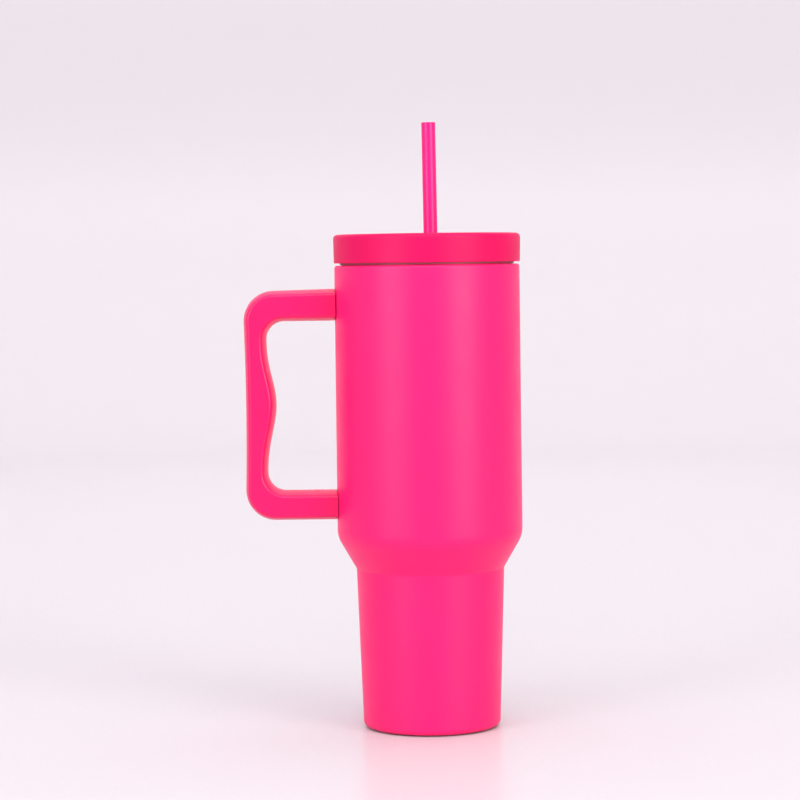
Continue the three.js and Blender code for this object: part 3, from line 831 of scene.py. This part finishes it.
def lid_shell():
    """The lid's top: a skirt outside, a wall round the recess, and the rim that joins them."""
    top, bottom, outer = high("lid_shell").z, low("lid_shell").z, widest("lid_shell")
    skirt_inner, wall_outer, wall_inner = 47.2, 40.7, 38.9
    draft = 0.25                    # the skirt narrows by this towards its lower edge
    wall_foot = FLANGE_TOP + FIT
    rim_under = top - 2.4
    profile = rounded([
        (skirt_inner, bottom, 0.35),
        (outer - draft, bottom, 0.5),
        (outer, top, 2.6),
        (wall_inner, top, 0.5),
        (wall_inner, wall_foot, 0.1),
        (wall_outer, wall_foot, 0.1),
        (wall_outer, rim_under, 0.3),
        (skirt_inner, rim_under, 0.3),
    ], 8)
    put(turned("lid_top_shell", profile), LID_PLASTIC, "lid", "lid_plastic", "lid_shell")


def lid_plug():
    """The deck, its flange, and the wall with the seal's groove, with the straw hole and sip opening."""
    bottom = low("lid_plug").z
    profile = rounded([
        (PIVOT_BORE, DECK_BOTTOM, 0.2), (PLUG_INNER, DECK_BOTTOM, 1.2), (PLUG_INNER, bottom, 0.6),
        (PLUG_RADIUS, bottom, 1.0), (PLUG_RADIUS, GROOVE_BOTTOM, 0.2),
        (GROOVE_RADIUS, GROOVE_BOTTOM, 0.3), (GROOVE_RADIUS, GROOVE_TOP, 0.3),
        (PLUG_RADIUS, GROOVE_TOP, 0.2), (PLUG_RADIUS, FLANGE_BOTTOM, 0.5),
        (FLANGE_OUTER, FLANGE_BOTTOM, 0.2), (FLANGE_OUTER, FLANGE_TOP, 0.2),
        (FLANGE_INNER, FLANGE_TOP, 0.2), (FLANGE_INNER, DECK_TOP, 0.3), (PIVOT_BORE, DECK_TOP, 0.2),
    ])
    plug = turned("lid_inner_plug", profile)
    straw_hole = round_tool(STRAW_HOLE, DECK_BOTTOM - BEYOND, DECK_TOP + BEYOND,
                            STRAW_PLACE.x, STRAW_PLACE.y)
    sip = ring_sector("sip_tool", SIP_INNER, SIP_OUTER, SIP_DIRECTION - SIP_HALF_ANGLE,
                      SIP_DIRECTION + SIP_HALF_ANGLE, DECK_BOTTOM - BEYOND, DECK_TOP + BEYOND)
    cut(plug, straw_hole, sip)
    put(plug, LID_PLASTIC, "lid", "lid_plastic", "lid_plug")


def lid_gasket():
    """A ring with two lips, which sits in the plug's groove."""
    back, tip = GROOVE_RADIUS + FIT, widest("lid_gasket")
    root = tip - 0.9
    bottom, top = low("lid_gasket").z, high("lid_gasket").z
    profile = rounded([
        (back, bottom, 0.15), (root, bottom, 0.2), (tip, bottom + 1, 0.25), (root, bottom + 1.6, 0.4),
        (root, top - 1.6, 0.4), (tip, top - 0.6, 0.25), (root, top, 0.2), (back, top, 0.15),
    ])
    put(turned("lid_seal_ring", profile), SILICONE, "gasket", "silicone", "lid_gasket")


def rotating_cover():
    """A disc on a short foot, with a slot for the straw, a notch to drink through and a thumb tab."""
    radius = widest("rotating_cover")
    foot, foot_bottom = 6.0, DECK_TOP + FIT
    disk = turned("turning_cover", rounded([
        (PIVOT_BORE, foot_bottom, 0.1), (foot, foot_bottom, 0.2), (foot, COVER_BOTTOM, 0.3),
        (radius, COVER_BOTTOM, 0.3), (radius, COVER_TOP, 0.7), (PIVOT_BORE, COVER_TOP, 0.2),
    ]))
    slot_half_width = 4.6
    slot = round_slot(STRAW_DISTANCE, slot_half_width, STRAW_DIRECTION - COVER_TRAVEL, STRAW_DIRECTION,
                      DECK_TOP, COVER_TOP + BEYOND)
    notch_direction = SIP_DIRECTION - COVER_TRAVEL
    notch_half = SIP_HALF_ANGLE + SIP_MARGIN / SIP_OUTER
    notch = ring_sector("notch_tool", SIP_INNER - SIP_MARGIN, SIP_OUTER + SIP_MARGIN,
                        notch_direction - notch_half, notch_direction + notch_half,
                        DECK_TOP, COVER_TOP + BEYOND)
    cut(disk, slot, notch)
    soften(disk, 0.25)
    tab_inner, tab_outer, tab_root = 24, 35, COVER_TOP - 0.5
    tab = ring_sector("thumb_tab", tab_inner, tab_outer, SIP_DIRECTION + 0.1, SIP_DIRECTION + 0.26,
                      tab_root, high("rotating_cover").z, 0.7)
    join(disk, tab)
    put(disk, LID_PLASTIC, "cover", "lid_plastic", "rotating_cover")


def sip_seal():
    half = SIP_HALF_ANGLE + 2 * SIP_MARGIN / SIP_OUTER
    pad = ring_sector("sip_seal_pad", SIP_INNER - SIP_MARGIN, SIP_OUTER + SIP_MARGIN,
                      SIP_DIRECTION - half, SIP_DIRECTION + half,
                      DECK_TOP + FIT, COVER_BOTTOM - FIT, 0.25)
    put(pad, SILICONE, "cover", "silicone", "sip_seal")


def cover_pivot():
    """The pin with its domed head, and the washer and ring on it."""
    top, bottom = high("cover_pivot").z, low("cover_pivot").z
    shaft, head_radius, dome_radius = 2.6, 6.0, 5.0
    head, rim, dome = top - 2, top - 2 + 1, top - 2 + 1.8
    pin = turned("pivot_pin", rounded([
        (0, bottom, 0), (shaft, bottom, 0.5), (shaft, head, 0.1), (head_radius, head, 0.3),
        (head_radius, rim, 0.6), (dome_radius, dome, 0.8), (0, top, 0),
    ]), SMALL_STEPS)
    put(pin, LID_PLASTIC, "lid", "lid_plastic", "cover_pivot")
    for node, name in (("pivot_washer", "pivot_wave_washer"), ("pivot_clip", "pivot_retaining_ring")):
        under, over, outer = low(node).z, high(node).z, widest(node)
        soft = (over - under) * 0.3
        ring = turned(name, rounded([
            (PIVOT_BORE, under, soft), (outer, under, soft), (outer, over, soft),
            (PIVOT_BORE, over, soft),
        ]), SMALL_STEPS)
        put(ring, BRUSHED_STEEL, "lid", "bare_steel", node)


def straw_grommet():
    """A ring whose waist sits in the deck's straw hole, with a flange on each side."""
    bottom, top = low("straw_grommet").z, high("straw_grommet").z
    under, over = DECK_BOTTOM - FIT, DECK_TOP + FIT
    bore, lower_flange, waist, upper_flange = 4.05, 7.6, 5.7, 8.2
    ring = turned("straw_seal_ring", rounded([
        (bore, bottom, 0.4), (lower_flange, bottom, 0.5), (lower_flange, under, 0.2),
        (waist, under, 0.2), (waist, over, 0.2), (upper_flange, over, 0.2),
        (upper_flange, top, 0.4), (bore, top, 0.4),
    ]), SMALL_STEPS)
    standing(ring, STRAW_PLACE.x, STRAW_PLACE.y, 0)
    put(ring, SILICONE, "lid", "silicone", "straw_grommet")


# ------------------------------------------------------------------ straw

def straw():
    """A tube with a stop bead, turned about the point where it passes the deck, then leaned."""
    radius, bore = 3.7, 2.7
    bead_radius, bead_half, bead_height = 5.2, 1.8, 26
    bottom, top = low("straw").z - DECK_TOP, high("straw").z - DECK_TOP
    bead = bead_height - DECK_TOP
    tube = turned("drinking_straw", rounded([
        (bore, bottom, 0.3), (radius, bottom, 0.45), (radius, bead - bead_half, 0.5),
        (bead_radius, bead - bead_half / 2, 0.8), (bead_radius, bead + bead_half / 2, 0.8),
        (radius, bead + bead_half, 0.5), (radius, top, 0.45), (bore, top, 0.3),
    ]), SMALL_STEPS)
    slide = next(joint for joint in frame["joints"] if joint["name"] == "straw_slide")
    lean = Vector((0, 0, 1)).rotation_difference(Vector(slide["axis"]))
    tube.data.transform(lean.to_matrix().to_4x4())
    standing(tube, STRAW_PLACE.x, STRAW_PLACE.y, DECK_TOP)
    put(tube, STRAW_PLASTIC, "straw", "straw_plastic", "straw")


# ------------------------------------------------------------------ hidden pieces kept from the frame

KEPT_NODES = {
    "radiation_foil": FOIL,
    "shell_bottom": BRUSHED_STEEL,
    "getter_cup": BRUSHED_STEEL,
    "getter_tablet": GETTER,
    "upper_bracket": BRUSHED_STEEL,
    "lower_bracket": BRUSHED_STEEL,
}


def kept_nodes():
    for name, material in KEPT_NODES.items():
        for holder in frame["nodes"][name].material_slots:
            holder.material = material


# ------------------------------------------------------------------ studio, in metres

PAPER_WHITE = (0.63, 0.60, 0.635)
INNER_FLOOR = 0.4
FLOOR_RADIUS = 1.9                  # where the paper starts to rise behind and beside the cup
PAPER_BEND = 0.6
PAPER_HEIGHT = 2.6
FRONT_REACH = 7.0                   # the floor runs on to here where nothing stands behind it
WALL_SPREAD = math.radians(110)     # how far round the wall stands, each way from straight behind
STAGE_STEPS = 72
STAGE_MERGE = 1e-5


def paper_white():
    m = Nodes("studio_paper")
    m.set(Base_Color=(*PAPER_WHITE, 1), Specular_IOR_Level=0.17)
    m.roughen(m.noise(scale=300, detail=4, roughness=0.6), 0.3, 0.7, 0.28, 0.36)
    return m.material


def make_stage():
    """White paper: a round floor that bends up into a curved wall, left open on the camera's side."""
    floor = [(0, 0), (INNER_FLOOR, 0), (FLOOR_RADIUS, 0)]
    wall = floor + arc(FLOOR_RADIUS, PAPER_BEND, PAPER_BEND, -QUARTER, 0, 16)[1:]
    wall.append((FLOOR_RADIUS + PAPER_BEND, PAPER_HEIGHT))
    front = floor + [(FRONT_REACH, 0)]
    bm = bmesh.new()
    for i in range(STAGE_STEPS):
        start = 2 * math.pi * i / STAGE_STEPS
        end = 2 * math.pi * (i + 1) / STAGE_STEPS
        from_behind = abs(math.remainder((start + end) / 2 - QUARTER, 2 * math.pi))
        side = wall if from_behind < WALL_SPREAD else front
        rows = [[bm.verts.new((r * math.cos(turn), r * math.sin(turn), z)) for r, z in side]
                for turn in (start, end)]
        for k in range(len(side) - 1):
            bm.faces.new((rows[0][k], rows[0][k + 1], rows[1][k + 1], rows[1][k]))
    bmesh.ops.remove_doubles(bm, verts=bm.verts, dist=STAGE_MERGE)
    mesh = bpy.data.meshes.new("studio_sweep")
    bm.to_mesh(mesh)
    bm.free()
    mesh.shade_smooth()
    mesh.materials.append(paper_white())
    sweep = bpy.data.objects.new("studio_sweep", mesh)
    bpy.context.scene.collection.objects.link(sweep)


COOL = (0.95, 0.96, 1.0)
WARM = (1.0, 0.96, 0.89)
BOX_ANGLE = math.radians(44)        # how far to each side of the camera the soft boxes stand
BOX_REACH = 2.3                     # how far from the cup they stand
BOX_WIDTH, BOX_HEIGHT = 1.15, 1.7
BOX_FOOT = 0.16                     # height of their lower edge
BOX_SPREAD = 110                    # degrees
BOXES = (("soft_box_left", -1, 14.8, COOL), ("soft_box_right", 1, 19, WARM))   # name, side, watts
TOP_PLACE, TOP_AIM = (0, -1.3, 1.15), (0, 0, 0.17)
TOP_WIDTH, TOP_DEPTH, TOP_POWER = 1.0, 0.4, 7.0
WASH_SIDE, WASH_BACK, WASH_HEIGHT = 0.9, 0.9, 2.4
WASH_AIM_BACK, WASH_AIM_HEIGHT = 2.5, 1.7
WASH_WIDTH, WASH_DEPTH = 1.6, 0.6
WASHES = (("wash_left", -1, 16, COOL), ("wash_right", 1, 22.5, WARM))


def area_light(name, place, aim, width, height, power, colour=(1, 1, 1), spread=180):
    """A lamp that shines from a rectangle, with its power in watts and its spread in degrees."""
    data = bpy.data.lights.new(name, "AREA")
    data.shape = "RECTANGLE"
    data.size, data.size_y = width, height
    data.energy = power
    data.color = colour
    data.spread = math.radians(spread)
    lamp = bpy.data.objects.new(name, data)
    lamp.location = place
    lamp.rotation_euler = (Vector(aim) - Vector(place)).to_track_quat("-Z", "Y").to_euler()
    lamp.visible_camera = False
    bpy.context.scene.collection.objects.link(lamp)


def make_lights():
    """Two tall soft boxes in front, a small lamp above the camera, and two lamps on the wall."""
    for name, side, power, colour in BOXES:
        x, y = side * BOX_REACH * math.sin(BOX_ANGLE), -BOX_REACH * math.cos(BOX_ANGLE)
        z = BOX_FOOT + BOX_HEIGHT / 2
        area_light(name, (x, y, z), (0, 0, z), BOX_WIDTH, BOX_HEIGHT, power, colour, BOX_SPREAD)
    area_light("front_top", TOP_PLACE, TOP_AIM, TOP_WIDTH, TOP_DEPTH, TOP_POWER)
    for name, side, power, colour in WASHES:
        x = side * WASH_SIDE
        area_light(name, (x, WASH_BACK, WASH_HEIGHT), (x, WASH_AIM_BACK, WASH_AIM_HEIGHT),
                   WASH_WIDTH, WASH_DEPTH, power, colour)


SKY_COLOUR = (1, 0.97, 0.99)
SKY_RISE = (("From Min", 0.5), ("From Max", 0.85), ("To Min", 0.17), ("To Max", 1.63))


def make_sky():
    """Light from all round: dim at eye level, bright overhead."""
    world = bpy.data.worlds.new("studio_air")
    world.use_nodes = True
    nodes, links = world.node_tree.nodes, world.node_tree.links
    place = nodes.new("ShaderNodeTexCoord")
    split = nodes.new("ShaderNodeSeparateXYZ")
    rise = nodes.new("ShaderNodeMapRange")
    rise.interpolation_type = "SMOOTHSTEP"
    for key, number in SKY_RISE:
        rise.inputs[key].default_value = number
    links.new(place.outputs["Generated"], split.inputs["Vector"])
    links.new(split.outputs["Z"], rise.inputs["Value"])
    background = nodes["Background"]
    background.inputs["Color"].default_value = (*SKY_COLOUR, 1)
    links.new(rise.outputs["Result"], background.inputs["Strength"])
    bpy.context.scene.world = world
    bpy.context.scene.view_settings.view_transform = "Standard"
    bpy.context.scene.view_settings.look = "None"


# ------------------------------------------------------------------ everything

make_camera()
make_stage()
make_lights()
make_sky()
outer_shell()
inner_vessel()
base_pad()
handle()
fastenings()
lid_shell()
lid_plug()
lid_gasket()
rotating_cover()
sip_seal()
cover_pivot()
straw_grommet()
straw()
kept_nodes()

bpy.context.view_layer.update()
